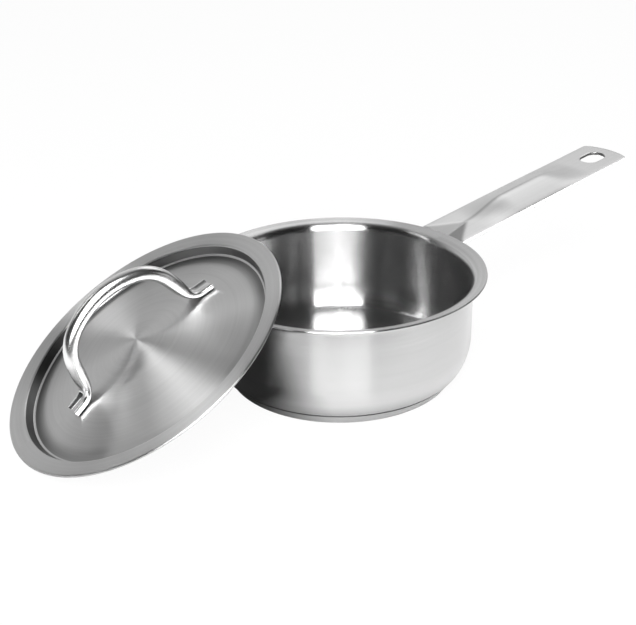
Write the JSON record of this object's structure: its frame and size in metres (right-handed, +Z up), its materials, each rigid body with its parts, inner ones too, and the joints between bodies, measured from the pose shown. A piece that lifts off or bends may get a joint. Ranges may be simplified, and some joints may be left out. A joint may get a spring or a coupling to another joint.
{
  "type": "saute pan with lid",
  "caption": "Small stainless steel saute pan with a thick base, a pouring lip, a hollow long handle with a hanging slot, and a loose lid with an arched tube handle leaning on its lip.",
  "frame": {"origin": "centre of the pan's base, where it stands on the table", "axes": "+Z up, +X from the pan's axis along the long handle, +Y to the left of the handle"},
  "size_m": [0.4592, 0.2052, 0.094],
  "materials": {
    "pan_steel": "satin, brushed round the axis",
    "core_aluminium": "plain disc, enclosed",
    "base_steel": "satin, turned",
    "handle_steel": "satin, brushed lengthwise",
    "weld_steel": "weld bead, brushed over",
    "lid_steel": "satin, brushed round the centre",
    "grip_steel": "bright polished tube",
    "spot_steel": "spot welds, hidden"
  },
  "bodies": {
    "pan": {"pan_body": "pan_steel", "base_core": "core_aluminium", "base_cap": "base_steel", "handle_tube": "handle_steel", "handle_weld": "weld_steel"},
    "lid": {"lid_panel": "lid_steel", "lid_handle": "grip_steel", "lid_spot_welds": "spot_steel"}
  },
  "joints": [
    {"name": "lid_lift", "type": "slide", "parent": "pan", "child": "lid", "axis": [-0.5049, 0.1018, 0.8572], "range_m": [0, 0.15]}
  ]
}
